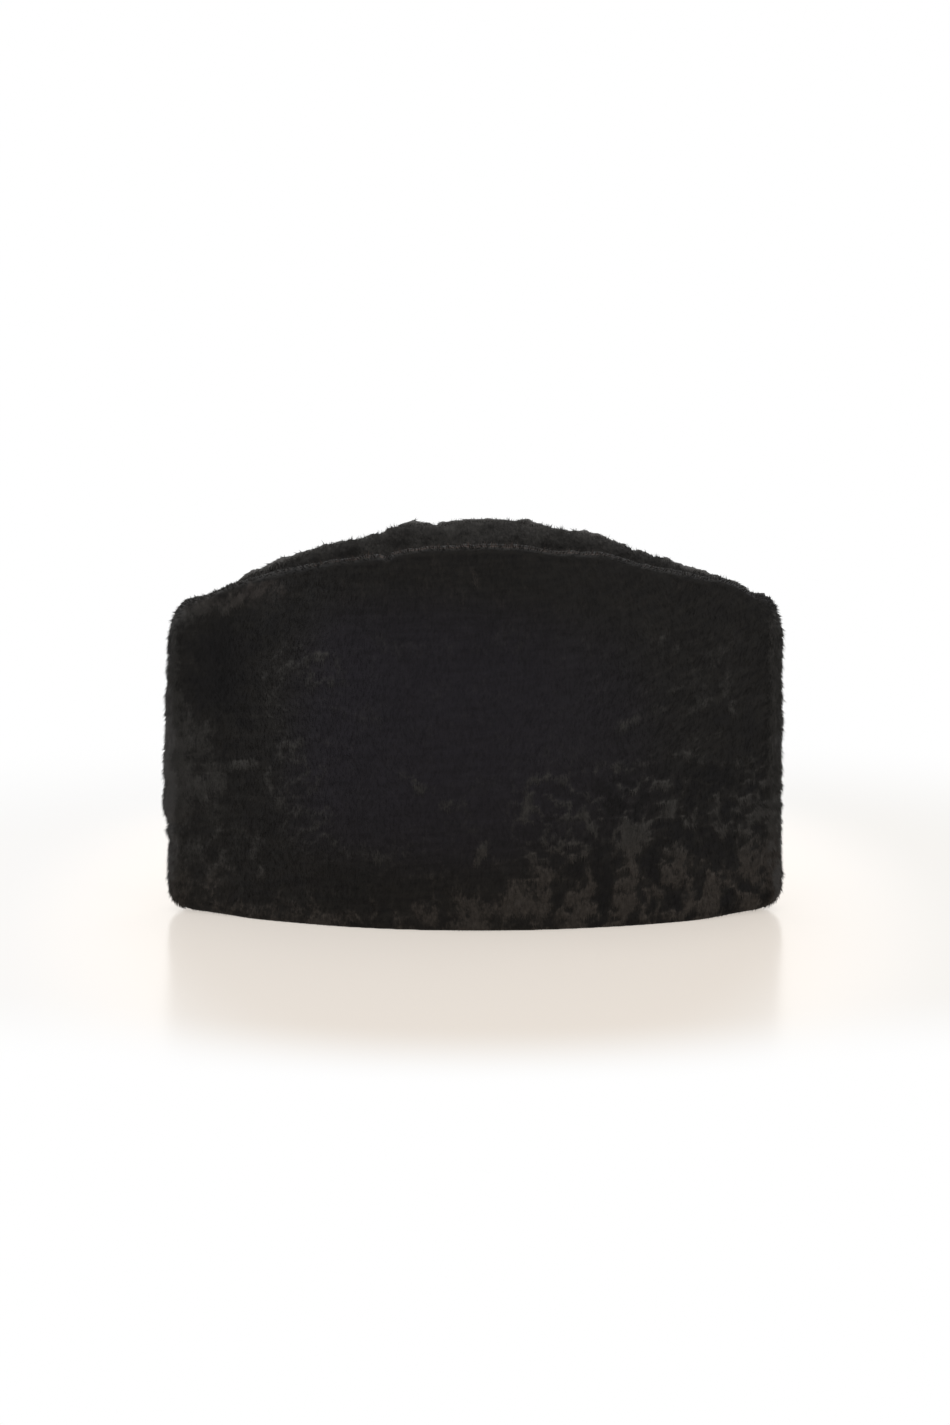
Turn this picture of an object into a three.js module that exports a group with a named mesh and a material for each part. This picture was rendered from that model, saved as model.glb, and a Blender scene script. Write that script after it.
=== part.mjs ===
// A fold-flat kalpak of sheared lambskin, standing half open on its hem.
// X runs along the hat, -Y is the near side and Z is up; the origin lies on the ground under its middle.
import * as THREE from "three";

// Outer sizes, in millimetres
const hatLength = 290;
const hemDepth = 90;
const ridgeHeight = 181;
const endHeight = 149;
const ridgeSpread = 79;
const sideBulge = 2;
const hemCorner = 12;
const topCorner = 10;
const topCornerDrop = 22;

// Fur, pelt and seams
const wall = 6.5;
const hemFlat = 3;
const insideCorner = 1.5;
const seamGap = 0.3;
const crownWall = 5;
const crownDepth = 52;
const crownDrop = 0.5;
const crownGap = 0.4;

// Facets
const stationCount = 48;
const fanCount = 4;
const rollCount = 6;

// How far the hem and the ridges stand off the middle plane: along is a share of half the length,
// hem and ridge are shares of how far each stands off at the middle.
const sidePlan = [
  { along: -1, hem: 0, ridge: 0 },
  { along: -0.9, hem: 0.17, ridge: 0.05 },
  { along: -0.8, hem: 0.33, ridge: 0.12 },
  { along: -0.7, hem: 0.48, ridge: 0.25 },
  { along: -0.58, hem: 0.64, ridge: 0.49 },
  { along: -0.45, hem: 0.79, ridge: 0.72 },
  { along: -0.3, hem: 0.91, ridge: 0.89 },
  { along: -0.12, hem: 0.985, ridge: 0.98 },
  { along: 0.08, hem: 1, ridge: 1 },
  { along: 0.25, hem: 0.95, ridge: 0.95 },
  { along: 0.38, hem: 0.87, ridge: 0.81 },
  { along: 0.52, hem: 0.76, ridge: 0.62 },
  { along: 0.68, hem: 0.58, ridge: 0.38 },
  { along: 0.84, hem: 0.34, ridge: 0.18 },
  { along: 1, hem: 0, ridge: 0 },
];

// The arch of each ridge: near and far are shares of the rise from the end height to the ridge height.
const ridgeArch = [
  { along: -1, near: 0.03, far: 0.03 },
  { along: -0.95, near: 0.1, far: 0.11 },
  { along: -0.87, near: 0.22, far: 0.22 },
  { along: -0.77, near: 0.34, far: 0.38 },
  { along: -0.7, near: 0.45, far: 0.44 },
  { along: -0.6, near: 0.59, far: 0.56 },
  { along: -0.47, near: 0.73, far: 0.71 },
  { along: -0.38, near: 0.81, far: 0.79 },
  { along: -0.3, near: 0.83, far: 0.88 },
  { along: -0.22, near: 0.93, far: 0.98 },
  { along: -0.16, near: 0.95, far: 0.96 },
  { along: -0.08, near: 0.98, far: 1 },
  { along: 0.04, near: 1, far: 1 },
  { along: 0.14, near: 0.98, far: 1 },
  { along: 0.19, near: 0.96, far: 0.98 },
  { along: 0.25, near: 0.9, far: 0.91 },
  { along: 0.38, near: 0.84, far: 0.82 },
  { along: 0.46, near: 0.77, far: 0.75 },
  { along: 0.55, near: 0.63, far: 0.6 },
  { along: 0.62, near: 0.56, far: 0.55 },
  { along: 0.74, near: 0.41, far: 0.4 },
  { along: 0.88, near: 0.28, far: 0.28 },
  { along: 0.94, near: 0.17, far: 0.17 },
  { along: 1, near: 0.05, far: 0.05 },
];

// The valley of the crown: depth is a share of the crown depth at the middle.
const crownValley = [
  { along: -1, depth: 0.02 },
  { along: -0.84, depth: 0.06 },
  { along: -0.72, depth: 0.24 },
  { along: -0.58, depth: 0.56 },
  { along: -0.38, depth: 0.86 },
  { along: -0.1, depth: 0.99 },
  { along: 0.1, depth: 1 },
  { along: 0.38, depth: 0.86 },
  { along: 0.6, depth: 0.54 },
  { along: 0.8, depth: 0.24 },
  { along: 1, depth: 0.02 },
];

// Heights of the wall's rows: low rows are shares of the hem corner, middle rows of the wall between
// the corners, and top rows of the top corner below the roll of the ridge.
const lowRows = [0.32, 0.66, 1];
const middleRows = [0.25, 0.5, 0.75, 1];
const topRows = [0.45, 0.8, 1];

// Rows of the crown's section: across runs from the seam to the valley, fall is a share of the depth.
const crownTop = [
  { across: 0, fall: 0 },
  { across: 0.13, fall: 0.09 },
  { across: 0.36, fall: 0.3 },
  { across: 0.62, fall: 0.58 },
  { across: 0.84, fall: 0.84 },
  { across: 0.95, fall: 0.98 },
];

const halfLength = hatLength / 2;
const outset = insideCorner + wall;
const tipReach = halfLength - outset;
const hemSpine = hemDepth / 2 - outset - seamGap / 2;
const ridgeSpine = ridgeSpread / 2 - insideCorner - wall / 2 - seamGap / 2;
const hemEdge = (wall - hemFlat) / 2;
const rollRadius = wall / 2;

// A smooth curve through one column of a table
function column(table, name) {
  const places = table.map((row) => row.along);
  const values = table.map((row) => row[name]);
  const curve = new THREE.CubicInterpolant(places, values, 1);
  return (along) => curve.evaluate(along)[0];
}

const planAt = { hem: column(sidePlan, "hem"), ridge: column(sidePlan, "ridge") };
const valleyAt = column(crownValley, "depth");
const riseAt = { near: column(ridgeArch, "near"), far: column(ridgeArch, "far") };

// The height of one ridge
function heightAt(side, along) {
  return endHeight + (ridgeHeight - endHeight) * riseAt[side](along);
}

// How far a round corner of the hat's end stands back: reach along the hat, over some drop in height
function cornerInset(reach, drop, distance) {
  const left = THREE.MathUtils.clamp(1 - distance / drop, 0, 1);
  return reach * (1 - Math.sqrt(1 - left * left));
}

// The line that the wall's inner face follows at the inside corner's radius: share runs from hem to ridge
function spineAt(along, share) {
  const hem = hemSpine * planAt.hem(along);
  const ridge = ridgeSpine * Math.max(0, planAt.ridge(along));
  const bulge = sideBulge * planAt.hem(along) * Math.sin(Math.PI * share);
  return new THREE.Vector2(along * tipReach, THREE.MathUtils.lerp(hem, ridge, share) + bulge);
}

// The direction out of the wall, in plan, as an angle from the hat's length
function outwardAngle(along, share) {
  const step = 0.004;
  const before = spineAt(Math.max(-1, along - step), share);
  const after = spineAt(Math.min(1, along + step), share);
  return Math.atan2(after.x - before.x, before.y - after.y);
}

// How far the round corners take a point back from the hat's end
function endInset(side, along, z) {
  const nearEnd = THREE.MathUtils.smoothstep(Math.abs(along), 0.7, 1);
  const low = cornerInset(hemCorner, hemCorner, z);
  const high = cornerInset(topCorner, topCornerDrop, heightAt(side, along) - z);
  return Math.sign(along) * nearEnd * (low + high);
}

// The plan of a point of the wall, at some distance out from its inner face; turn wraps it round an end
function wallPlan(side, station, across, z) {
  const { along, turn } = station;
  const share = z / heightAt(side, along);
  const spine = spineAt(along, share);
  const angle = THREE.MathUtils.lerp(outwardAngle(along, share), along < 0 ? Math.PI : 0, turn);
  const reach = insideCorner + across;
  const x = spine.x - endInset(side, along, z) + reach * Math.cos(angle);
  return new THREE.Vector2(x, seamGap / 2 + spine.y + reach * Math.sin(angle));
}

// The stations along a panel: plain ones, then a fan that turns the wall round each end
function makeStations() {
  const plain = [];
  for (let i = 0; i <= stationCount; i += 1) {
    plain.push({ along: -1 + (2 * i) / stationCount, turn: 0 });
  }
  const fan = [];
  for (let i = 1; i <= fanCount; i += 1) {
    fan.push(i / fanCount);
  }
  const left = fan.map((turn) => ({ along: -1, turn })).reverse();
  const right = fan.map((turn) => ({ along: 1, turn }));
  return [...left, ...plain, ...right];
}

// The outline of the wall at a station, as distances across it and heights, from the hem round the ridge
function wallOutline(side, along) {
  const height = heightAt(side, along);
  const faceTop = height - rollRadius;
  const cornerFoot = height - topCornerDrop;
  const diagonal = hemEdge * Math.SQRT1_2;
  const rows = [
    hemEdge,
    ...lowRows.map((share) => THREE.MathUtils.lerp(hemEdge, hemCorner, share)),
    ...middleRows.map((share) => THREE.MathUtils.lerp(hemCorner, cornerFoot, share)),
    ...topRows.map((share) => THREE.MathUtils.lerp(cornerFoot, faceTop, share)),
  ];
  const outline = [
    [hemEdge, 0],
    [wall - hemEdge, 0],
    [wall - hemEdge + diagonal, hemEdge - diagonal],
  ];
  rows.forEach((z) => outline.push([wall, z]));
  for (let i = 1; i < rollCount; i += 1) {
    const angle = (Math.PI * i) / rollCount;
    outline.push([rollRadius * (1 + Math.cos(angle)), faceTop + rollRadius * Math.sin(angle)]);
  }
  rows.reverse().forEach((z) => outline.push([0, z]));
  outline.push([hemEdge - diagonal, hemEdge - diagonal]);
  return outline.map(([across, z]) => ({ across, z }));
}

// Triangles that fill a flat outline, wound as the outline is
function capFaces(outline) {
  const faces = THREE.ShapeUtils.triangulateShape(outline, []);
  return THREE.ShapeUtils.isClockWise(outline) ? faces.map(([a, b, c]) => [a, c, b]) : faces;
}

// A closed mesh through rings of equal length, with a cap on the first and the last
function loft(rings, firstFlat, lastFlat, colour) {
  const count = rings[0].length;
  const positions = rings.flat().flatMap((point) => [point.x, point.y, point.z]);
  const faces = [];
  for (let r = 0; r + 1 < rings.length; r += 1) {
    for (let i = 0; i < count; i += 1) {
      const a = r * count + i;
      const b = r * count + ((i + 1) % count);
      faces.push(a, b, b + count, a, b + count, a + count);
    }
  }
  const last = (rings.length - 1) * count;
  capFaces(firstFlat).forEach(([a, b, c]) => faces.push(a, c, b));
  capFaces(lastFlat).forEach(([a, b, c]) => faces.push(last + a, last + b, last + c));
  const geometry = new THREE.BufferGeometry();
  geometry.setAttribute("position", new THREE.Float32BufferAttribute(positions, 3));
  geometry.setIndex(faces);
  geometry.computeVertexNormals();
  const fur = new THREE.MeshStandardMaterial({ color: colour, roughness: 0.92, metalness: 0 });
  return new THREE.Mesh(geometry, fur);
}

// One side of the hat, from end seam to end seam; sign is -1 on the near side and 1 on the far side
function sidePanel(side, sign, colour) {
  const rings = makeStations().map((station) =>
    wallOutline(side, station.along).map(({ across, z }) => {
      const plan = wallPlan(side, station, across, z);
      return new THREE.Vector3(plan.x, sign * plan.y, z);
    }),
  );
  const ordered = sign < 0 ? rings.reverse() : rings;
  const flat = (ring) => ring.map((point) => new THREE.Vector2(point.x, point.z));
  return loft(ordered, flat(ordered[0]), flat(ordered.at(-1)), colour);
}

// The crown's section at a station, from the near seam over the valley to the far seam and back below
function crownSection(along) {
  const drop = rollRadius + crownDrop;
  const edges = { near: heightAt("near", along) - drop, far: heightAt("far", along) - drop };
  const valley = (edges.near + edges.far) / 2 - crownDepth * valleyAt(along);
  const seatAt = (side, z) => wallPlan(side, { along, turn: 0 }, -crownGap, z);
  const half = seatAt("near", edges.near).y;
  const slope = (crownDepth * valleyAt(along)) / half;
  const thick = crownWall * Math.hypot(1, slope);
  const rowPoint = (side, sign, row, lower) => {
    const fallen = THREE.MathUtils.lerp(edges[side], valley, row.fall);
    const z = fallen - lower;
    const seat = seatAt(side, z);
    return new THREE.Vector3(seat.x, sign * seat.y * (1 - row.across), z);
  };
  const nearTop = crownTop.map((row) => rowPoint("near", -1, row, 0));
  const farTop = crownTop.map((row) => rowPoint("far", 1, row, 0)).reverse();
  const farBase = crownTop.map((row) => rowPoint("far", 1, row, thick));
  const nearBase = crownTop.map((row) => rowPoint("near", -1, row, thick)).reverse();
  return [...nearTop, ...farTop, ...farBase, ...nearBase];
}

// The crown, folded down between the ridges and pinched between the sides near both ends
function crownFold(colour) {
  const rings = makeStations()
    .filter(({ turn }) => turn === 0)
    .map(({ along }) => crownSection(along));
  rings.reverse();
  const flat = (ring) => ring.map((point) => new THREE.Vector2(point.y, point.z));
  return loft(rings, flat(rings[0]), flat(rings.at(-1)), colour);
}

const kalpak = new THREE.Group();
kalpak.name = "kalpak";
const pieces = {
  near_side_panel: sidePanel("near", -1, 0x242223),
  far_side_panel: sidePanel("far", 1, 0x242223),
  crown_fold: crownFold(0x2e2c2c),
};
for (const [name, mesh] of Object.entries(pieces)) {
  mesh.name = name;
  kalpak.add(mesh);
}

export default kalpak;
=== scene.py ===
"""A kalpak of black sheared lambskin, half open on its hem, on a pale gloss floor."""
import math

import bpy
import numpy as np
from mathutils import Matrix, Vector, noise


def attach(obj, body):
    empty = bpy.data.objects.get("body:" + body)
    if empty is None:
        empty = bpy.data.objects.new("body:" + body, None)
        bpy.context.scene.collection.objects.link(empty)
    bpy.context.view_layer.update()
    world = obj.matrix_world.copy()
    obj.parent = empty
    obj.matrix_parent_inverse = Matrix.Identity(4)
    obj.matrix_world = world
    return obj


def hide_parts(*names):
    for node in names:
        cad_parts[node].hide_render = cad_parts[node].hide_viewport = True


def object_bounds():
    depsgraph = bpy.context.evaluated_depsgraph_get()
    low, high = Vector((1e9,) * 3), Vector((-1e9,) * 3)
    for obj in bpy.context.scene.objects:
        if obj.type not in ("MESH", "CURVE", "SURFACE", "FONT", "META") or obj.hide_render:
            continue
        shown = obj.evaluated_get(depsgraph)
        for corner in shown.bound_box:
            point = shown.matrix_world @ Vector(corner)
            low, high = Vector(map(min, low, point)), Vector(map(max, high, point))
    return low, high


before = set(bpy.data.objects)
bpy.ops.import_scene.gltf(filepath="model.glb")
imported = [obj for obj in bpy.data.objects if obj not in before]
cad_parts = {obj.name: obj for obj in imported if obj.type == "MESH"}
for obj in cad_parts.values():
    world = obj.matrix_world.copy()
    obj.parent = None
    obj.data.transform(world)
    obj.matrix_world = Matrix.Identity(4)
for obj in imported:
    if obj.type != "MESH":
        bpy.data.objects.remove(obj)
cad_low, cad_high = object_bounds()

NEAR = "near_side_panel"
FAR = "far_side_panel"
CROWN = "crown_fold"
BODY = "root"

# Sizes, in metres. The pile stands on a pelt that sits a little inside the plain solid. The top
# corners round off from the shoulders outwards.
HALF_LENGTH = (cad_high[0] - cad_low[0]) / 2
PELT_INSET = 0.0011
EDGE_INSET = 0.0003
VALLEY_RISE = 0.0014
CROWN_RISE = 0.0008
MEETING_RISE = 0.0006
MEETING_REACH = 0.0025
RIM_LIFT = 0.0025
FAR_RIM_LIFT = 0.0020
END_ROUNDING = 0.045
WELD_REACH = 0.00002
ROOT_DEPTH = 0.0003
TIP_CLEARANCE = 0.0002
SHOULDER = 0.118

# Heights, in metres, between which the things that belong to the ridges set in.
RIDGE_BAND = (0.120, 0.150)
SETTLED_BAND = (0.120, 0.148)
VALLEY_BAND = (0.125, 0.140)
TURN_BAND = (0.130, 0.145)
SCALLOP_BAND = (0.130, 0.150)

# What differs between the three pelts, by the node that each replaces.
FUR_GRID = {NEAR: 0.0014, FAR: 0.0017, CROWN: 0.0017}
FUR_SEED = {NEAR: 1, FAR: 40, CROWN: 80}
SETTLED_DROP = {NEAR: 0.0014, FAR: -0.0010, CROWN: -0.0005}
TOP_INSET = {NEAR: 0.0, FAR: 0.0004, CROWN: -0.0007}
TOP_STAND = {NEAR: 0.1, FAR: -0.2, CROWN: 0.5}

# The ridges' relief: how far their scallops, the ripples on these and the finest lumps rise. Then
# the notches and swellings that the photograph shows in them, in the left end and at the middle of
# the near side: place, width and height.
RIDGE_RELIEF = {NEAR: (0.00040, 0.0002, 0.0001), FAR: (0.00070, 0.0006, 0.0004)}
RIDGE_MARKS = {
    NEAR: ((-0.0395, 0.0016, -0.0016), (0.0760, 0.0045, -0.0007)),
    FAR: ((-0.0190, 0.0013, -0.0018), (0.0740, 0.0016, -0.0018), (-0.0290, 0.0050, 0.0006)),
}
LEFT_END_MARKS = ((0.0435, 0.0022, -0.0016), (0.0510, 0.0050, 0.0006))
MIDDLE_CREASE = (0.0005, 0.0011, -0.00022)

# How much of a tuft's shading comes from the pelt below it, how much longer or shorter than the
# named length one can be, and how thinly a face may be furred before it counts as bare.
PILE_SOFTNESS = 0.85
SHORTEST = 0.65
LONGEST = 1.25
BARE_SHARE = 0.02

# Millimetres in a metre, how much stronger each patch shows than its row says, how fast it fades
# outwards, and how sharp its edge is.
MM = 1000
PATCH_GAIN = 1.15
PATCH_FADE = 0.80
PATCH_EDGE = 1.15

# Places where the pile is brushed up and stands higher, with painted sheen that shows lighter:
# along, height, width, tall in mm, lean in degrees, strength. The second list holds places where it
# lies flat, with no painted sheen, and shows blackest.
BRUSHED_SHEEN_PATCHES = (
    # the left half and the top
    (2, 37, 4, 12, -30, .6), (-66, 4, 16, 5, 0, .6), (-110, 74, 15, 5, 0, .7),
    (-123, 64, 16, 12, 0, .42), (-104, 36, 12, 10, 20, .7), (-117, 27, 9, 10, 0, .6),
    (-100, 24, 4, 9, 0, .6), (-122, 18, 9, 8, 0, .5), (-89, 58, 22, 5, -34, .5),
    (-69, 42, 12, 4, -34, .5), (-48, 37, 13, 6, -20, .45), (-27, 71, 17, 4, -28, .5),
    (-11, 61, 14, 5, -10, .5), (-98, 107, 13, 4, -10, .45), (-98, 98, 18, 5, -28, .45),
    (-131, 88, 10, 10, 0, .5), (-139, 84, 12, 34, 0, .35), (-134, 64, 20, 20, 0, .22),
    (-88, 84, 12, 8, -40, .4), (-66, 116, 14, 3, 8, .35), (-48, 100, 16, 3, 4, .25),
    (-56, 86, 14, 3, -4, .25), (-72, 128, 16, 3, 4, .25), (-97, 118, 19, 4, 18, .5),
    (-139, 48, 9, 24, 0, .35), (-137, 16, 8, 18, 0, .5), (-107, 4, 12, 5, 0, .4),
    (-130, 146, 24, 9, 14, .8), (-112, 152, 22, 9, 16, .75), (-98, 158, 14, 7, 16, .55),
    (-93, 158, 12, 4, 16, .3), (0, 168, 3, 8, 0, .35),
    # the upper right
    (99, 80, 15, 4, -14, .5), (118, 74, 12, 4, 0, .4), (129, 76, 10, 4, 10, .4),
    (97, 112, 18, 4, 22, .4), (121, 100, 4, 10, 0, .45), (71, 96, 16, 5, 24, .45),
    (84, 102, 10, 3, 10, .4), (106, 105, 10, 6, 40, .4), (112, 88, 14, 3, 14, .45),
    (67, 76, 22, 4, -5, .4), (141, 92, 8, 90, 0, .3), (112, 126, 12, 4, 14, .4),
    (96, 130, 14, 3, 24, .35), (118, 112, 6, 14, -10, .35), (109, 122, 16, 3, 24, .25),
    (89, 135, 16, 3, 24, .25),
    # the lower right
    (73, 20, 9, 37, 0, 1), (99, 29, 8, 11, 0, 1), (100, 17, 7, 21, 0, .95), (111, 15, 9, 22, 4, 1),
    (133, 25, 17, 18, 0, 1), (131, 5, 12, 6, -14, .75), (72, 45, 13, 11, 0, .7),
    (80, 48, 4, 12, -35, .6), (91, 57, 6, 15, 0, .85), (87, 68, 12, 4, 8, .75),
    (53, 56, 10, 8, -30, .7), (46, 36, 13, 5, -14, .6), (54, 23, 4, 27, 0, .85),
    (48, 11, 8, 10, 0, .95), (92, 33, 7, 10, 0, .8), (100, 51, 6, 7, 0, .6), (105, 48, 6, 4, 0, .55),
    (111, 55, 5, 6, 0, .7), (115, 49, 4, 14, 0, .85), (106, 39, 11, 3, 0, .6), (117, 40, 8, 7, 0, .8),
    (122, 60, 4, 10, 30, .6), (128, 57, 8, 3, 0, .6), (133, 50, 16, 3, 0, .6), (140, 47, 3, 9, 0, .7),
    (130, 41, 5, 5, 0, .6), (134, 36, 16, 3, 0, .6), (90, 23, 4, 10, 20, .85), (86, 17, 5, 7, 30, .7),
    (92, 4, 10, 5, 0, .65), (124, 32, 3, 5, 0, .7), (65, 11, 5, 4, 0, .5),
    # the middle, low down
    (20, 13, 14, 15, 0, .7), (34, 26, 13, 11, 0, .75), (1, 8, 12, 13, 0, .55), (-21, 8, 7, 13, 0, .55),
    (42, 45, 17, 7, 18, .5), (12, 31, 5, 15, 20, .5), (28, 35, 9, 5, 0, .45), (143, 22, 3, 24, 0, .6),
    (32, 23, 7, 9, 0, .95), (32, 11, 10, 11, 10, .9), (17, 13, 4, 19, 6, .7), (-3, 9, 9, 11, 0, .6),
    (2, 36, 3, 11, -30, .6), (24, 58, 4, 16, -12, .65), (31, 73, 9, 5, 10, .55),
    (39, 46, 8, 6, -30, .55), (-21, 11, 6, 10, -20, .5), (68, 64, 6, 5, 0, .35), (48, 55, 5, 4, 0, .5),
)
FLAT_PATCHES = (
    (61, 25, 8, 45, 0, .95), (97, 42, 11, 9, 0, .9), (109, 35, 12, 18, -30, 1),
    (119, 35, 9, 13, 0, 1), (98, 60, 34, 6, 0, .5), (135, 41, 8, 10, 0, .95), (109, 55, 6, 6, 0, .9),
    (123, 47, 10, 4, -20, .9), (83, 30, 6, 16, -8, .9), (92, 14, 6, 10, 0, .85), (96, 8, 4, 8, 0, .6),
    (106, 16, 3, 14, 0, .8), (119, 7, 5, 14, 20, .95), (131, 15, 10, 4, 18, .8), (47, 30, 9, 6, 0, .7),
    (79, 14, 3, 6, 0, .6), (127, 56, 5, 3, 0, .5), (116, 68, 20, 10, 0, .6), (23, 5, 10, 6, 0, .8),
    (39, 24, 5, 16, 0, .6), (12, 29, 7, 24, 0, .4), (-118, 117, 26, 52, 8, 1),
    (-96, 137, 44, 16, 24, .6), (130, 88, 10, 20, 0, .7), (116, 93, 14, 9, 10, .5),
    (104, 69, 28, 9, 0, .6), (-100, 46, 22, 14, 0, .35), (-52, 24, 40, 16, 0, .25),
    (81, 58, 6, 8, 0, .5), (56, 70, 23, 8, 0, .3),
)

# Tones, as linear light: the fur, the bare skin, the floor and the haze of light beside it.
FLAT_TONE = (0.0036, 0.0031, 0.0033, 1)
# A painted bluish reflection in the middle of the walls, cool at its heart and violet round it.
COOL_REFLECTION_TONE = (0.0122, 0.0107, 0.0140, 1)
# Painted sheen on brushed up pile: warm in two strengths, grey higher up.
WARM_SHEEN_TONE = (0.0455, 0.0390, 0.0340, 1)
DIM_WARM_SHEEN_TONE = (0.03276, 0.02808, 0.02448, 1)
GREY_SHEEN_TONE = (0.0352, 0.0333, 0.0310, 1)
PLAIN_TONE = (0.0100, 0.0089, 0.0078, 1)
# Painted light, pale, on the far ridge and at the ends.
PALE_LIT_TONE = (0.0640, 0.0610, 0.0590, 1)
# The violet edge of the painted bluish reflection.
VIOLET_REFLECTION_TONE = (0.0101, 0.0088, 0.0101, 1)
# A reddish painted highlight on the near ridge's crest.
RIDGE_HIGHLIGHT_TONE = (0.0500, 0.0350, 0.0295, 1)
SHEEN_TONE = (1.0, 0.97, 0.94, 1)
DARK_SKIN_TONE = (0.010, 0.009, 0.008, 1)
LIGHT_SKIN_TONE = (0.018, 0.016, 0.014, 1)
LEFT_FLOOR_TONE = (0.86, 0.80, 0.735, 1)
RIGHT_FLOOR_TONE = (0.86, 0.79, 0.715, 1)
LEFT_HAZE_TONE = (0.947, 0.940, 0.932, 1)
RIGHT_HAZE_TONE = (0.918, 0.902, 0.877, 1)
WHITE = (1, 1, 1, 1)
DAYLIGHT = (0.97, 0.985, 1.0, 1)

# The floor's rings, the camera and its lens, in metres, degrees and millimetres.
FLOOR_TURNS = 48
FLOOR_RADII = [0.25 * 1.7 ** ring for ring in range(9)]
CAMERA_PLACE = (0.0003, -1.8, 0.459)
LOOKING_DOWN = 11.43
FOCAL_LENGTH = 98.37
SENSOR_WIDTH = 36.0


class Wire:
    """One socket's output, so that sums on it read as plain maths."""

    def __init__(self, board, socket):
        self.board = board
        self.socket = socket

    def beside(self, name):
        """Another output of the node that this one comes from."""
        return Wire(self.board, self.socket.node.outputs[name])

    def sum_of(self, operation, *values):
        return self.board.add("ShaderNodeMath", {"operation": operation}, dict(enumerate(values)))

    def __add__(self, other):
        return self.sum_of("ADD", self, other)

    def __sub__(self, other):
        return self.sum_of("SUBTRACT", self, other)

    def __rsub__(self, other):
        return self.sum_of("SUBTRACT", other, self)

    def __mul__(self, other):
        return self.sum_of("MULTIPLY", self, other)

    def __truediv__(self, other):
        return self.sum_of("DIVIDE", self, other)

    def __pow__(self, other):
        return self.sum_of("POWER", self, other)

    __radd__ = __add__
    __rmul__ = __mul__


class Board:
    """A node tree that is filled one node at a time."""

    def __init__(self, tree):
        self.tree = tree

    def add(self, kind, settings=None, inputs=None, output=0):
        """Places one node, sets it, feeds its inputs and gives the output that is asked for."""
        node = self.tree.nodes.new(kind)
        for name, value in (settings or {}).items():
            setattr(node, name, value)
        for key, value in (inputs or {}).items():
            socket = self.find(node.inputs, key)
            if isinstance(value, Wire):
                self.tree.links.new(value.socket, socket)
            else:
                socket.default_value = value
        if len(node.outputs) == 0:
            return node
        return Wire(self, self.find(node.outputs, output))

    @staticmethod
    def find(sockets, key):
        if isinstance(key, int):
            return [socket for socket in sockets if socket.enabled][key]
        named = [socket for socket in sockets if key in (socket.name, socket.identifier)]
        return next((socket for socket in named if socket.enabled), named[0])

    def blend(self, share, first, second):
        """A colour from the first at share 0 to the second at share 1."""
        return self.add("ShaderNodeMix", {"data_type": "RGBA"}, {0: share, "A": first, "B": second})

    def step(self, value, low, high, start=0.0, end=1.0):
        """A smooth step from start where the value is low to end where it is high."""
        settings = {"interpolation_type": "SMOOTHSTEP"}
        inputs = {"Value": value, "From Min": low, "From Max": high, "To Min": start, "To Max": end}
        return self.add("ShaderNodeMapRange", settings, inputs)

    def summed(self, first, second):
        return self.add("ShaderNodeVectorMath", {"operation": "ADD"}, {0: first, 1: second})

    def scaled(self, vector, factor):
        settings = {"operation": "SCALE"}
        return self.add("ShaderNodeVectorMath", settings, {0: vector, "Scale": factor})

    def object_place(self):
        """The place on the piece, then its parts: along the hat, deep and high."""
        place = self.add("ShaderNodeTexCoord", None, None, "Object")
        along = self.add("ShaderNodeSeparateXYZ", None, {"Vector": place}, "X")
        return place, along, along.beside("Y"), along.beside("Z")

    def grain(self, place, size, stretch=(1, 1, 1), turn=(0, 0, 0), detail=2.0, roughness=0.5):
        """Smooth noise whose lumps are size metres across, times stretch along each axis."""
        scale = tuple(1.0 / (size * value) for value in stretch)
        turned = {"Vector": place, "Rotation": turn}
        turned = self.add("ShaderNodeMapping", {"vector_type": "POINT"}, turned)
        grown = self.add("ShaderNodeVectorMath", {"operation": "MULTIPLY"}, {0: turned, 1: scale})
        inputs = {"Vector": grown, "Scale": 1.0, "Detail": detail, "Roughness": roughness}
        return self.add("ShaderNodeTexNoise", {"noise_dimensions": "3D"}, inputs, "Fac")


def new_material(name):
    material = bpy.data.materials.new(name)
    material.use_nodes = True
    material.node_tree.nodes.clear()
    return material, Board(material.node_tree)


def close_material(board, shader):
    board.add("ShaderNodeOutputMaterial", None, {"Surface": shader})


def oval(across, height, middle, reach):
    """Wires for an oval on the side: 0 at its middle, 1 at its reach along and up."""
    return ((across - middle[0]) / reach[0]) ** 2.0 + ((height - middle[1]) / reach[1]) ** 2.0


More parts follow.
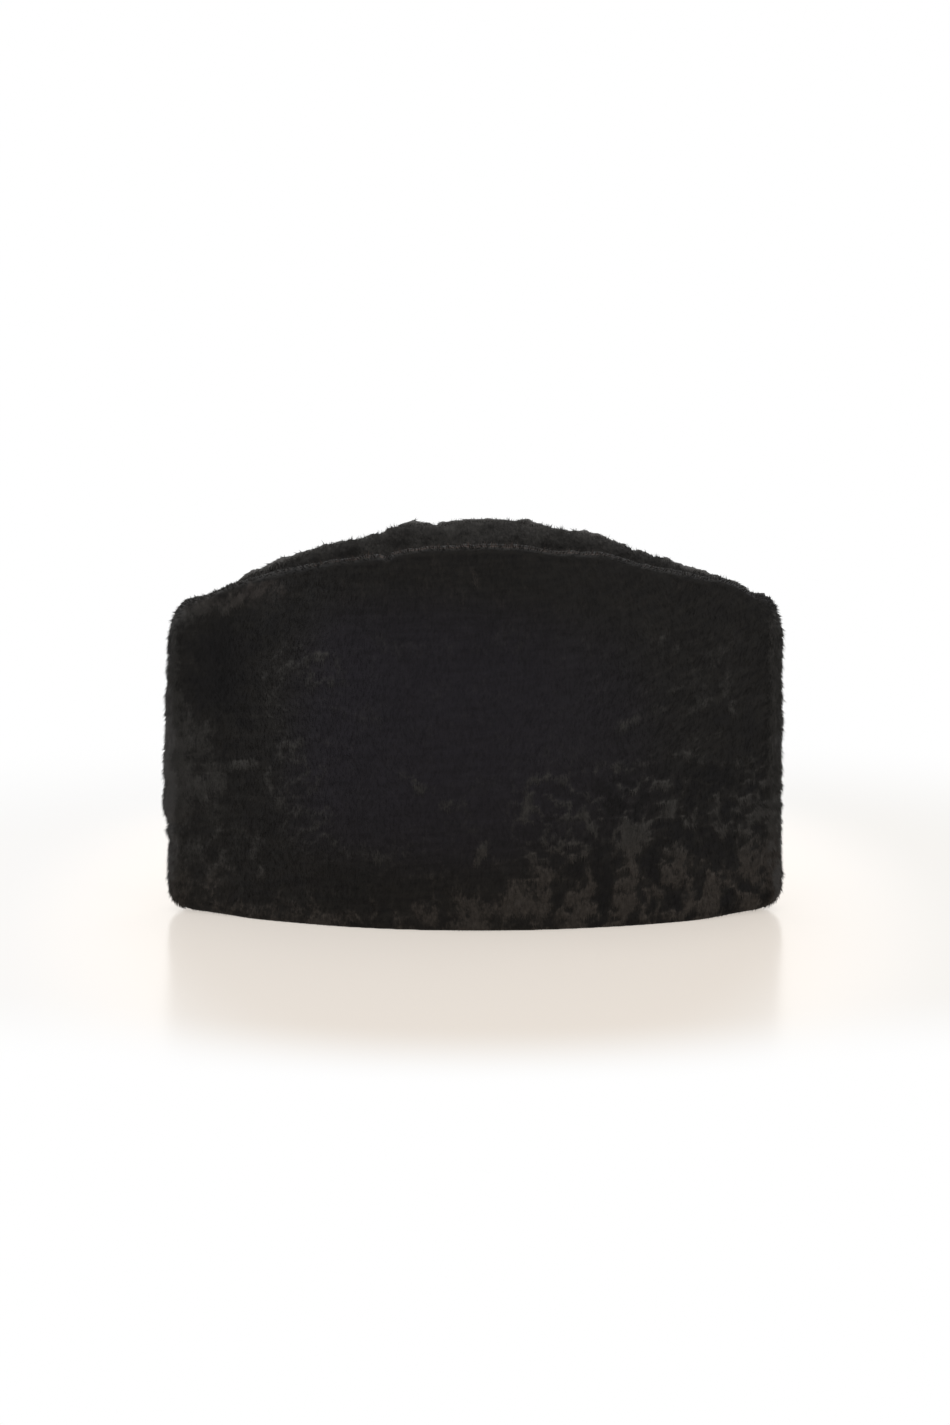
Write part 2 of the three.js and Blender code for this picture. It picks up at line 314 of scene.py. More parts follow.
def fur_material(name, on_pelt, brighten=1.0):
    """Dyed black sheared lambskin: darker where the pile lies flat, and grey-brown painted sheen where
    it is brushed up, with painted light on the ridges, the crown and the ends, painted shade in the
    crown's crease and a painted bluish reflection in the middle of the walls. A pelt also gets the
    pile's grain as a bump, and real tufts need none."""
    material, board = new_material(name)
    place, across, deep, height = board.object_place()
    # How far the pile is brushed up, with its painted sheen and the painted light of the ridges.
    brushed_and_sheen = board.add("ShaderNodeAttribute", {"attribute_name": "brushed_and_sheen"}, None, "Fac")
    crest = board.add("ShaderNodeAttribute", {"attribute_name": "crest"}, None, "Fac")
    pile = board.grain(place, 0.0009, (0.55, 0.55, 2.6), roughness=0.6)
    tufts = board.grain(place, 0.0042, (1, 1, 1.5), detail=3.0, roughness=0.6)
    flecks = board.grain(place, 0.0016, (1, 1, 1.3), roughness=0.6)

    # Bands run level on the left and rise to the right.
    level = board.grain(place, 0.0026, (8.0, 8.0, 1.0), (0, 0.05, 0), 3.0, 0.6)
    rising = board.grain(place, 0.0028, (5.0, 5.0, 1.0), (0, 0.42, 0), 3.0, 0.6)
    turned = board.step(across, 0.020, 0.070)
    bands = level * (1.0 - turned) + rising * turned

    # Both walls carry a painted bluish reflection, violet round a cool middle, and the ends and the
    # crown are plain.
    wall = board.step(deep * deep, 0.0004, 0.0012)
    middle = oval(across, height, (-0.030, 0.095), (0.100, 0.060))
    middle = (1.0 - board.step(middle, 0.1, 1.5)) * wall
    around = oval(across, height, (-0.008, 0.092), (0.125, 0.066))
    around = (1.0 - board.step(around, 0.4, 1.3)) * wall
    base = board.blend(middle, board.blend(around, PLAIN_TONE, VIOLET_REFLECTION_TONE), COOL_REFLECTION_TONE)

    # Pile that lies flat is near black, and so are the bands, though less so in the middle under the
    # painted bluish reflection.
    banded = board.step(bands * 0.65 + tufts * 0.35, 0.34, 0.64)
    risen = board.step(brushed_and_sheen + (tufts - 0.5) * 0.5, -0.70, 0.02)
    base_share = 1.0 - (1.0 - banded) * (0.56 - middle * 0.40)
    base = board.blend(base_share * risen, FLAT_TONE, base)

    # Brushed up pile shows grey-brown painted sheen, warmer low down, and a reddish painted highlight
    # along the near ridge's crest.
    leftward = board.step(across, -0.010, -0.070)
    above = board.step(height + (tufts - 0.5) * 0.02 + leftward * 0.016, 0.020, 0.050)
    warm = board.blend(board.step(flecks, 0.3, 0.7), DIM_WARM_SHEEN_TONE, WARM_SHEEN_TONE)
    # A reddish painted highlight along the near ridge's crest.
    crest_highlight = board.step(height, 0.140, 0.150) * board.step(deep, 0.0, -0.02)
    crest_highlight = crest_highlight * (0.32 + crest * 0.68)
    light = board.blend(crest_highlight, board.blend(above, warm, GREY_SHEEN_TONE), RIDGE_HIGHLIGHT_TONE)

    # How far each spot is lifted decides between the two, and the most lifted ones are pale, mostly
    # the painted light on the far ridge and at the ends.
    streaks = board.step(bands, 0.53, 0.70) * (1.0 - middle) * board.step(height, 0.045, 0.075)
    streaks = streaks * (1.0 - board.step(height, 0.125, 0.150)) * 0.18
    fine = (flecks - 0.5) * 1.1 + (pile - 0.5) * 0.7
    fine = fine * board.step(brushed_and_sheen, 0.0, 0.5, 0.40, 1.0)
    lifted = board.step(brushed_and_sheen + streaks + (tufts - 0.5) * 0.75 + fine, -0.02, 1.02)
    palest = board.step(brushed_and_sheen + (flecks - 0.5) * 0.6, 1.10, 1.60)
    colour = board.blend(palest, board.blend(lifted, base, light), PALE_LIT_TONE)
    strokes = board.step(pile * 0.65 + bands * 0.35, 0.30, 0.70, 0.90 * brighten, 1.12 * brighten)
    inputs = {
        "Base Color": board.scaled(colour, strokes),
        "Roughness": board.step(pile * 0.5 + tufts * 0.5, 0.3, 0.7, 0.50, 0.66),
        "Specular IOR Level": 0.12,
        "Sheen Weight": 0.10,
        "Sheen Roughness": 0.25,
        "Sheen Tint": SHEEN_TONE,
    }
    if on_pelt:
        bump = {"Strength": 0.45, "Distance": 0.0006, "Height": pile * 0.6 + tufts * 1.0}
        inputs["Normal"] = board.add("ShaderNodeBump", None, bump)
    close_material(board, board.add("ShaderNodeBsdfPrincipled", None, inputs))
    return material


def skin_material(name):
    """The bare skin side of the pelts, dyed through and matt."""
    material, board = new_material(name)
    place = board.add("ShaderNodeTexCoord", None, None, "Object")
    nap = board.grain(place, 0.0012, detail=3.0, roughness=0.6)
    cloud = board.grain(place, 0.0180)
    shade = board.step(cloud * 0.6 + nap * 0.4, 0.3, 0.7)
    bump = board.add("ShaderNodeBump", None, {"Strength": 0.3, "Distance": 0.0002, "Height": nap})
    close_material(board, board.add("ShaderNodeBsdfPrincipled", None, {
        "Base Color": board.blend(shade, DARK_SKIN_TONE, LIGHT_SKIN_TONE),
        "Roughness": board.step(nap, 0.3, 0.7, 0.72, 0.86),
        "Specular IOR Level": 0.20,
        "Normal": bump,
    }))
    return material


def floor_material():
    """Pale warm gloss round the hat's reflection, which fades to white further off."""
    material, board = new_material("pale_gloss_floor")
    place, along, deep = board.object_place()[:3]
    cloud = board.grain(place, 0.35)
    warm = board.step(along - deep + cloud * 0.1, -0.2, 0.5)
    tone = board.blend(warm, LEFT_FLOOR_TONE, RIGHT_FLOOR_TONE)
    gloss = board.add("ShaderNodeBsdfPrincipled", None, {
        "Base Color": board.scaled(tone, 0.3),
        "Roughness": board.step(cloud, 0.3, 0.7, 0.17, 0.21),
        "Specular IOR Level": 0.42,
        "Emission Color": tone,
        "Emission Strength": 0.64,
    })
    reach = ((along / 1.35) ** 2.0 + deep ** 2.0) ** 0.5
    beside = board.step((along ** 2.0 + (deep * 0.6) ** 2.0) ** 0.5, 0.130, 0.240)
    haze = board.blend(board.step(along, -0.1, 0.1), LEFT_HAZE_TONE, RIGHT_HAZE_TONE)
    shown = beside * (1.0 - board.step(reach, 0.200, 0.420))
    shown = shown * (1.0 - board.step(0.0 - deep, 0.14, 0.26))
    lit = {"Color": board.blend(shown, WHITE, haze), "Strength": 1.0}
    lit = board.add("ShaderNodeEmission", None, lit)
    clear = 1.0 - board.step(reach, 0.200, 0.290)
    away = 1.0 - clear * (1.0 - beside * 0.9)
    close_material(board, board.add("ShaderNodeMixShader", None, {0: away, 1: gloss, 2: lit}))
    return material


def smooth_step(value, low, high):
    """0 up to low, 1 from high on, and a smooth rise between them."""
    share = np.clip((value - low) / (high - low), 0.0, 1.0)
    return share * share * (3.0 - 2.0 * share)


def below(height, edge, fade):
    """0 above an edge, 1 from fade metres below it."""
    return smooth_step(edge - height, 0.0, fade)


def towards_end(along, start, full):
    """0 up to start metres from the hat's end, 1 from full metres before it."""
    return smooth_step(along, HALF_LENGTH - start, HALF_LENGTH - full)


def bell(value, place, width, height):
    """A rise of the given height at a place, gone about two widths from it."""
    return height * np.exp(-(((value - place) / width) ** 2))


def lumps(points, size, seed, stretch=(1.0, 1.0, 1.0)):
    """Perlin noise from about -1 to 1 at each point, with lumps size metres across."""
    scaled = points / (np.array(stretch) * size) + np.array([seed * 7.31, seed * 3.17, seed * 5.83])
    return np.array([noise.noise(Vector(point)) for point in scaled]) * 1.6


def lines_of(wave):
    """1 along the lines where a noise passes through 0, and less away from them."""
    return 1.0 - 2.0 * np.abs(wave)


def unit(vectors):
    return vectors / np.maximum(np.linalg.norm(vectors, axis=1), 1e-6)[:, None]


def patches_at(points, rows):
    """How strongly each point lies within the given patches, with ragged, wandering edges."""
    wander = np.column_stack([lumps(points, 0.007, 3), lumps(points, 0.007, 4)]) * 0.0014
    fine = np.column_stack([lumps(points, 0.0030, 5), lumps(points, 0.0030, 6)]) * 0.0010
    along = points[:, 0] + wander[:, 0] + fine[:, 0]
    high = points[:, 2] + (wander[:, 1] + fine[:, 1]) * 1.5
    total = np.zeros(len(points))
    for x, z, width, tall, lean, strength in rows:
        turn = math.radians(lean)
        dx = along - x / MM
        dz = high - z / MM
        side = dx * math.cos(turn) + dz * math.sin(turn)
        rise = dz * math.cos(turn) - dx * math.sin(turn)
        reach = (side / (width / (2 * MM))) ** 2 + (rise / (tall / (2 * MM))) ** 2
        shown = min(1.0, strength * PATCH_GAIN) * np.exp(-PATCH_FADE * reach ** PATCH_EDGE)
        total = 1.0 - (1.0 - total) * (1.0 - shown)
    return total


def watered(points):
    """Thin wavy light lines, as on watered silk: at the left, in the lower right, near the hem."""
    x, z = points[:, 0], points[:, 2]
    wave = lumps(points, 0.0105, 19, (1.5, 1.0, 0.75))
    wave = wave + 0.40 * lumps(points, 0.0042, 20, (1.4, 1.0, 0.8))
    line = smooth_step(lines_of(wave), 0.30, 0.95)
    shown = smooth_step(lumps(points, 0.028, 21), -0.35, 0.35)
    left = smooth_step(-x, 0.050, 0.080) * below(z, 0.150, 0.020) * 0.75
    right = smooth_step(x, 0.004, 0.040) * below(z, 0.087, 0.026)
    hem = below(z, 0.062, 0.030) * smooth_step(-x, -0.012, 0.050) * 0.6
    return np.maximum(left, hem) * (0.62 * line * shown - 0.05) + right * (0.95 * line - 0.26)


def painted_end_rim_light(x, z):
    """Painted rim light round the near side's ends, as lighter pile: a share under the patches, and
    one laid over them.
    """
    pale = towards_end(-x, 0.032, 0.010) * smooth_step(z, 0.015, 0.035) * below(z, 0.125, 0.040)
    under = towards_end(np.abs(x), 0.010, 0.001) * 0.40 + pale * 0.30
    over = towards_end(-x, 0.008, 0.001) * 0.80
    over += towards_end(x, 0.009, 0.001) * (0.40 + 0.35 * below(z, 0.105, 0.030))
    return under, over


def brushed_and_sheen_near(points):
    """How far the near side's pile is brushed up and how much painted sheen it shows, as the
    photograph shows it.
    """
    x, z = points[:, 0], points[:, 2]
    light = patches_at(points, BRUSHED_SHEEN_PATCHES)
    dark = patches_at(points, FLAT_PATCHES)
    # Painted rim light round both ends.
    under, over = painted_end_rim_light(x, z)
    ragged = lumps(points, 0.0050, 9, (1.0, 1.0, 1.5)) * 0.55
    ragged = ragged + lumps(points, 0.0024, 10, (1, 1, 1.4)) * 0.35
    gaps = smooth_step(lumps(points, 0.0042, 17, (0.8, 1.0, 1.5)), 0.05, 0.70)
    faint = smooth_step(lumps(points, 0.016, 12, (1.4, 1.0, 0.8)), 0.25, 0.9) * 0.12
    hem = smooth_step(0.012 - z, -0.004, 0.012) * 0.20
    place = light * (1.0 + 0.8 * ragged - 0.40 * gaps) + faint + under + hem

    # A web of light veins with darker meshes, mostly in the lower right.
    region = smooth_step(x, 0.005, 0.070) * below(z, 0.085, 0.040)
    region = np.maximum(region, 0.55 * smooth_step(-x, 0.080, 0.135))
    region = np.maximum(region, 0.50 * below(z, 0.030, 0.020))
    veins = lumps(points, 0.0120, 14, (0.9, 1.0, 1.4)) + 0.30 * lumps(points, 0.0040, 15)
    web = smooth_step(lines_of(veins), 0.10, 0.90)
    place = place + region * web * (0.48 + 0.4 * ragged)

    # A finer mesh in a belt across the right.
    mesh = smooth_step(lines_of(lumps(points, 0.0068, 18, (1.1, 1.0, 1.0))), 0.35, 0.95)
    belt = smooth_step(x, 0.035, 0.075) * smooth_step(z, 0.022, 0.040) * below(z, 0.086, 0.020)
    place = place + belt * (0.42 * mesh - 0.14) + watered(points)
    place = place - 0.36 * region * (1.0 - web) * (1.0 - light)
    place = place * (1.0 - 0.75 * dark) + ragged * (0.14 + 0.15 * light) - dark * 0.55
    return np.clip(place, -0.7, 1.15 - 0.35 * over) + over


def brushed_and_sheen_plain(points):
    """The same kind of light and dark places where the photograph doesn't reach: brushed up pile with
    painted sheen, flat pile, and painted rim light at the ends.
    """
    x, z = points[:, 0], points[:, 2]
    low = smooth_step(0.075 - z, -0.03, 0.075)
    cloud = lumps(points, 0.013, 22, (0.8, 1.0, 1.5)) * 0.75 + lumps(points, 0.005, 23) * 0.35
    veins = smooth_step(lines_of(lumps(points, 0.0125, 25, (0.9, 1.0, 1.4))), 0.10, 0.90)
    shown = smooth_step(lumps(points, 0.040, 26), -0.25, 0.45)
    patches = np.maximum(smooth_step(cloud, 0.22, 0.6), 0.65 * veins * shown)
    ragged = lumps(points, 0.0045, 24, (1.0, 1.0, 1.5)) * 0.3
    # Painted rim light at both ends.
    rim_light = towards_end(np.abs(x), 0.010, 0.001) * 0.70
    place = patches * (0.25 + 0.75 * low) * (1.0 + ragged) + ragged * 0.25 + rim_light
    return np.clip(place, -0.6, 1.2)


def read_points(mesh):
    points = np.empty(len(mesh.vertices) * 3)
    mesh.vertices.foreach_get("co", points)
    normals = np.empty(len(mesh.vertices) * 3)
    mesh.vertex_normals.foreach_get("vector", normals)
    return points.reshape(-1, 3), normals.reshape(-1, 3)


def write_points(mesh, points):
    mesh.vertices.foreach_set("co", points.ravel())
    mesh.update()


def keep_values(mesh, name, values):
    """Stores one number or one vector for each of the mesh's points, under a name."""
    if values.ndim == 1:
        mesh.attributes.new(name, "FLOAT", "POINT").data.foreach_set("value", values)
    else:
        vectors = mesh.attributes.new(name, "FLOAT_VECTOR", "POINT").data
        vectors.foreach_set("vector", values.ravel())


def finished_mesh(piece, name):
    """The piece as its modifiers make it, as a plain mesh with none left on it."""
    ready = piece.evaluated_get(bpy.context.evaluated_depsgraph_get())
    mesh = bpy.data.meshes.new_from_object(ready)
    mesh.name = name
    piece.modifiers.clear()
    return mesh


def link_piece(name, mesh):
    piece = bpy.data.objects.new(name, mesh)
    bpy.context.scene.collection.objects.link(piece)
    return piece


def even_pelt(name, node):
    """A copy of a plain solid's skin with one even grid of faces and rounded edges."""
    piece = link_piece(name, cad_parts[node].data.copy())
    weld = piece.modifiers.new("weld", "WELD")
    weld.merge_threshold = WELD_REACH
    remesh = piece.modifiers.new("even_grid", "REMESH")
    remesh.mode = "VOXEL"
    remesh.voxel_size = FUR_GRID[node]
    remesh.use_smooth_shade = True
    ease = piece.modifiers.new("ease", "SMOOTH")
    ease.factor = 0.5
    ease.iterations = 4
    piece.data = finished_mesh(piece, name)
    return piece


def away_from_middle(points):
    """From the hat's long middle line straight out to each point, level with the floor."""
    spine = np.clip(points[:, 0], -HALF_LENGTH + END_ROUNDING, HALF_LENGTH - END_ROUNDING)
    return unit(np.column_stack([points[:, 0] - spine, points[:, 1], np.zeros(len(points))]))


def settled(points, node):
    """The real hat's small unevenness: a softer top left corner, ends that swell and draw in a
    little, ridges a touch higher on the right, and the near ridge in front of the far one at the
    left."""
    x, z = points[:, 0], points[:, 2]
    high = smooth_step(z, *SETTLED_BAND)
    left = smooth_step(-x, SHOULDER, HALF_LENGTH)
    right = smooth_step(x, SHOULDER, HALF_LENGTH)
    moved = points.copy()
    moved[:, 0] += left * 0.0024 * smooth_step(z, 0.098, 0.150)
    moved[:, 0] -= left * bell(z, 0.064, 0.020, 0.0016)
    moved[:, 0] += right * (bell(z, 0.018, 0.012, 0.0009) - 0.0009 * smooth_step(z, 0.095, 0.125))
    moved[:, 2] += 0.0012 * (x / HALF_LENGTH) * high
    moved[:, 2] += bell(x, 0.121, 0.012, 0.0013) * high
    change = SETTLED_DROP[node] * smooth_step(-x, 0.095, 0.118)
    change *= 1.0 - smooth_step(-x, 0.134, HALF_LENGTH)
    if node != NEAR:
        change += bell(x, -0.085, 0.026, 0.0014) - bell(x, 0.106, 0.014, 0.0011)
    moved[:, 2] += change * high
    return moved


def ridge_light(points, normals, node):
    """Where the near ridge's crest is, where the pile's painted light follows the ridges or the crown
    rather than the patches, and how light it is there: a painted highlight on the near crest, painted
    light on the far ridge's top and on the crown towards the far ridge, and painted shade in the
    crown's crease."""
    x, y = points[:, 0], points[:, 1]
    up = normals[:, 2]
    high = smooth_step(points[:, 2], *RIDGE_BAND)
    ragged = 0.22 * lumps(points, 0.008, 61) + 0.18 * lumps(points, 0.003, 62)
    if node == NEAR:
        # A painted highlight along the crest.
        crest = smooth_step(up, 0.88, 0.99) * (1.0 - smooth_step(normals[:, 1], 0.0, 0.2))
        left = smooth_step(-x, 0.085, 0.112)
        share = high * smooth_step(up, 0.30, 0.60) * (1.0 - 0.85 * left)
        lit = (0.98 - 0.35 * smooth_step(x, 0.065, 0.095)) * crest
        return share * crest, share, -0.20 + lit + 0.3 * ragged
    none = np.zeros(len(points))
    if node == CROWN:
        # Painted light on the crown, lighter towards the far ridge, and painted shade in its crease.
        painted_crease_shade = bell(y, 0.0, 0.004, 0.7)
        return none, high, 0.05 + 0.47 * smooth_step(y, 0.0, 0.042) - painted_crease_shade + ragged
    # Painted light on the far ridge, lightest on its top.
    share = high * smooth_step(up - normals[:, 1], -0.2, 0.5)
    return none, share, 0.80 + 0.75 * smooth_step(up, 0.45, 0.95) + ragged


def lift_rims(points, normals):
    """Raises the crown's two rims, so that they run up into the ridges without a ditch."""
    stations = np.linspace(-HALF_LENGTH + 0.010, HALF_LENGTH - 0.010, 60)
    reach = np.array([np.abs(points[np.abs(points[:, 0] - place) < 0.004, 1]).max()
                      for place in stations])
    width = np.interp(points[:, 0], stations, reach)
    share = np.abs(points[:, 1]) / np.maximum(width, 0.001)
    lifted = points.copy()
    up = smooth_step(normals[:, 2], -0.2, 0.3)
    far = smooth_step(points[:, 1], 0.0, 0.010) * smooth_step(np.abs(points[:, 0]), 0.010, 0.050)
    lifted[:, 2] += up * (RIM_LIFT + FAR_RIM_LIFT * far) * smooth_step(share, 0.66, 0.98)
    return lifted


def relief_of(points, normals, brushed_and_sheen, node):
    """How far the pelt rises from its even skin at each point, in metres."""
    seed = FUR_SEED[node]
    if node == CROWN:
        return 0.00035 * lumps(points, 0.013, seed) + 0.00025 * lumps(points, 0.005, seed + 1)
    x, z = points[:, 0], points[:, 2]
    top = smooth_step(normals[:, 2], 0.25, 0.8) * smooth_step(z, *SCALLOP_BAND)
    end = towards_end(np.abs(x), 0.012, 0.002)
    rise = 0.00030 * lumps(points, 0.017, seed) + 0.00016 * lumps(points, 0.006, seed + 1)
    rise += 0.00010 * lumps(points, 0.004, seed + 2, (6.0, 1.0, 1.0))
    rise += 0.00028 * np.clip(brushed_and_sheen, 0, 1)

    # Scallops along the ridges, which go straight over them, and up the two ends.
    scallop, ripple, finest = RIDGE_RELIEF[node]
    none = np.zeros(len(points))
    across = np.column_stack([x, none, none])
    rise += top * scallop * lines_of(lumps(across, 0.011, seed + 3))
    rise += top * ripple * lumps(across, 0.0045, seed + 4)
    rise += top * finest * lumps(points, 0.0028, seed + 6)
    upwards = np.column_stack([np.sign(x) * 0.3, none, z])
    rise += end * 0.00050 * lines_of(lumps(upwards, 0.0085, seed + 5))

    for mark in RIDGE_MARKS[node]:
        rise += top * bell(x, *mark)
    if node == NEAR:
        for mark in LEFT_END_MARKS:
            rise += end * bell(z, *mark) * (x < 0)
        rise += bell(x, *MIDDLE_CREASE) * smooth_step(z, 0.150, 0.170)
    return rise


def comb_of(points, normals, node):
    """Which way the pile lies: down the sides, over the ridges, across the crown's seams."""
    seed = FUR_SEED[node] + 30
    drift = lumps(points, 0.03, seed) * 0.35 + lumps(points, 0.009, seed + 1) * 0.35
    if node == CROWN:
        level = 0.4 * np.ones(len(points))
        comb = np.column_stack([drift, np.sign(points[:, 1]) * 1.2, level])
    else:
        x, z = points[:, 0], points[:, 2]
        lean = drift + 0.45 * smooth_step(x, 0.03, 0.12) * smooth_step(z, 0.05, 0.08)
        sway = lumps(points, 0.01, seed + 2) * 0.2
        comb = np.column_stack([-lean, sway, -np.ones(len(points))])
        over = smooth_step(normals[:, 2], -0.2, 0.4) * smooth_step(z, *TURN_BAND)
        inner = smooth_step(-normals[:, 1], -0.1, 0.4)
        comb[:, 1] += 2.2 * over if node == NEAR else over * (0.6 - 1.9 * inner)
    return unit(comb - normals * np.sum(comb * normals, axis=1)[:, None])


def facing_of(points, normals, node):
    """Which way the pile faces the light: as its pelt does, but upwards where it stands on the far
    ridge, and outwards where it is laid over the near one."""
    facing = normals.copy()
    high = smooth_step(points[:, 2], *RIDGE_BAND)
    if node == NEAR:
        facing[:, 1] -= 1.3 * high * smooth_step(normals[:, 2], 0.15, 0.60)
    elif node == FAR:
        facing[:, 2] += 1.1 * high * smooth_step(-normals[:, 1], -0.1, 0.5)
    return unit(facing)


def furred_share(points, normals, node):
    """1 where fur grows, 0 on the bare inside, under the hem and below the crown."""
    if node == CROWN:
        return smooth_step(normals[:, 2], -0.5, -0.1)
    outward = np.sum(normals * away_from_middle(points), axis=1)
    over = smooth_step(normals[:, 2], -0.35, 0.0) * smooth_step(points[:, 2], *TURN_BAND)
    furred = np.maximum(smooth_step(outward, 0.12, 0.35), over)
    return furred * (1.0 - smooth_step(-normals[:, 2], 0.55, 0.9))


def turned_inwards(points, normals, low, high):
    """1 where the skin faces the hat's middle plane, 0 where it faces away."""
    return smooth_step(-normals[:, 1] * np.sign(points[:, 1]), low, high)


def laid_pelt(points, normals, brushed_and_sheen, furred, node):
    """The pelt's skin: inset below the pile, with its relief, and nowhere below the floor."""
    rise = relief_of(points, normals, brushed_and_sheen, node)
    up = smooth_step(normals[:, 2], 0.1, 0.5)
    edge = np.maximum(towards_end(np.abs(points[:, 0]), 0.030, 0.003), up)
    inset = PELT_INSET + (EDGE_INSET - PELT_INSET) * edge
    inset = inset + TOP_INSET[node] * up
    if node == CROWN:
        inset = inset - CROWN_RISE
    else:
        # The bare skins of the two sides close up where they meet at the ends, and their inner
        # slopes rise to the seams of the crown.
        meeting = turned_inwards(points, normals, 0.3, 0.8)
        meeting = meeting * (np.abs(points[:, 1]) < MEETING_REACH)
        points = points + normals * (MEETING_RISE * meeting * (1.0 - furred))[:, None]
        valley = turned_inwards(points, normals, 0.0, 0.5) * smooth_step(points[:, 2], *VALLEY_BAND)
        inset = inset - VALLEY_RISE * valley
    laid = points + normals * (furred * (rise - inset))[:, None]
    laid[:, 2] = np.maximum(laid[:, 2], 0.0)
    return laid


def fur_pelt(name, node, brushed_at):
    """The pelt of one panel: the plain solid's own shape with the relief of real lambskin, and the
    values on it that its pile grows from."""
    piece = even_pelt(name, node)
    points, normals = read_points(piece.data)
    points = settled(points, node)
    if node == CROWN:
        points = lift_rims(points, normals)
    crest, share, level = ridge_light(points, normals, node)
    brushed_and_sheen = brushed_at(points)
    # On the ridges and the crown, their painted light takes over from the patches.
    brushed_and_sheen = brushed_and_sheen + (level - brushed_and_sheen) * share
    furred = furred_share(points, normals, node)
    write_points(piece.data, laid_pelt(points, normals, brushed_and_sheen, furred, node))

    # The pile is thicker at the ends and on the far ridge, and thinner on the near ridge's crest.
    points, normals = read_points(piece.data)
    end = towards_end(np.abs(points[:, 0]), 0.010, 0.002)
    top = smooth_step(normals[:, 2], 0.2, 0.7)
    if node == NEAR:
        thicker = -0.3 * smooth_step(normals[:, 2], 0.6, 0.9)
    else:
        thicker = (0.2 if node == CROWN else 0.7) * top
    stand = 0.15 + 0.28 * np.clip(brushed_and_sheen, 0, 1) + 0.42 * end + TOP_STAND[node] * top
    # How far the pile is brushed up, with its painted sheen and painted light.
    keep_values(piece.data, "brushed_and_sheen", brushed_and_sheen)
    keep_values(piece.data, "crest", crest)
    keep_values(piece.data, "furred", furred * (1.0 + np.maximum(thicker, 0.7 * end)))
    keep_values(piece.data, "stand", stand)
    keep_values(piece.data, "comb", comb_of(points, normals, node))
    keep_values(piece.data, "facing", facing_of(points, normals, node))
    return piece


def pile_tree():
    """Grows short tapered tufts on a pelt, leaning the way it is combed."""
    tree = bpy.data.node_groups.new("grow_pile", "GeometryNodeTree")
    face = tree.interface
    face.new_socket("Geometry", in_out="OUTPUT", socket_type="NodeSocketGeometry")
    face.new_socket("Geometry", in_out="INPUT", socket_type="NodeSocketGeometry")
    for name in ("Tufts per square metre", "Length", "Width", "Tangle", "Root depth"):
        face.new_socket(name, in_out="INPUT", socket_type="NodeSocketFloat")
    face.new_socket("Seed", in_out="INPUT", socket_type="NodeSocketInt")
    face.new_socket("Fur", in_out="INPUT", socket_type="NodeSocketMaterial")
    board = Board(tree)
    pelt = board.add("NodeGroupInput", None, None, "Geometry")

    def value_at(name, kind="FLOAT"):
        return board.add("GeometryNodeInputNamedAttribute", {"data_type": kind}, {"Name": name})

    # Roots all over the fur, sunk a little into the pelt.
    scatter = {
        "Mesh": pelt,
        "Density": pelt.beside("Tufts per square metre") * value_at("furred"),
        "Seed": pelt.beside("Seed"),
    }
    roots = board.add("GeometryNodeDistributePointsOnFaces", {"distribute_method": "RANDOM"},
                      scatter, "Points")
    normal = roots.beside("Normal")
    sink = board.scaled(normal, pelt.beside("Root depth") * -1.0)
    sunk = board.add("GeometryNodeSetPosition", None, {"Geometry": roots, "Offset": sink})

    # Each tuft points along the comb, lifted and tangled.
    tangle = {"Min": (-1, -1, -1), "Max": (1, 1, 1), "Seed": pelt.beside("Seed") + 1.0}
    tangle = board.add("FunctionNodeRandomValue", {"data_type": "FLOAT_VECTOR"}, tangle)
    upright = board.scaled(normal, value_at("stand"))
    way = board.summed(value_at("comb", "FLOAT_VECTOR"), upright)
    way = board.summed(way, board.scaled(tangle, pelt.beside("Tangle")))
    turn = board.add("FunctionNodeAlignRotationToVector", {"axis": "Z"}, {"Vector": way})

    # A tuft is a closed three-sided cone, some longer than others.
    tuft = board.add("GeometryNodeMeshCone", {"fill_type": "NGON"}, {
        "Vertices": 3, "Side Segments": 1, "Fill Segments": 1,
        "Radius Top": 0.0, "Radius Bottom": 0.5, "Depth": 1.0}, "Mesh")
    spread = {"Min": SHORTEST, "Max": LONGEST, "Seed": pelt.beside("Seed") + 2.0}
    spread = board.add("FunctionNodeRandomValue", {"data_type": "FLOAT"}, spread)
    width = pelt.beside("Width")
    grown = {"X": width, "Y": width, "Z": pelt.beside("Length") * spread}
    grown = board.add("ShaderNodeCombineXYZ", None, grown)
    stood = {"Points": sunk, "Instance": tuft, "Rotation": turn, "Scale": grown}
    stood = board.add("GeometryNodeInstanceOnPoints", None, stood, "Instances")
    real = board.add("GeometryNodeRealizeInstances", None, {"Geometry": stood})
    dyed = {"Geometry": real, "Material": pelt.beside("Fur")}
    dyed = board.add("GeometryNodeSetMaterial", None, dyed)
    board.add("NodeGroupOutput", None, {"Geometry": dyed})
    return tree


def furred_faces(mesh):
    """How thickly each face of a pelt is furred."""
    furred = np.empty(len(mesh.vertices))
    mesh.attributes["furred"].data.foreach_get("value", furred)
    corners = np.empty(len(mesh.loops), dtype=np.int64)
    mesh.loops.foreach_get("vertex_index", corners)
    starts = np.empty(len(mesh.polygons), dtype=np.int64)
    mesh.polygons.foreach_get("loop_start", starts)
    totals = np.empty(len(mesh.polygons), dtype=np.int64)
    mesh.polygons.foreach_get("loop_total", totals)
    return np.add.reduceat(furred[corners], starts) / totals


def furred_area(mesh):
    """The pelt's area, each face counted as thickly as it is furred."""
    areas = np.empty(len(mesh.polygons))
    mesh.polygons.foreach_get("area", areas)
    return float((furred_faces(mesh) * areas).sum())


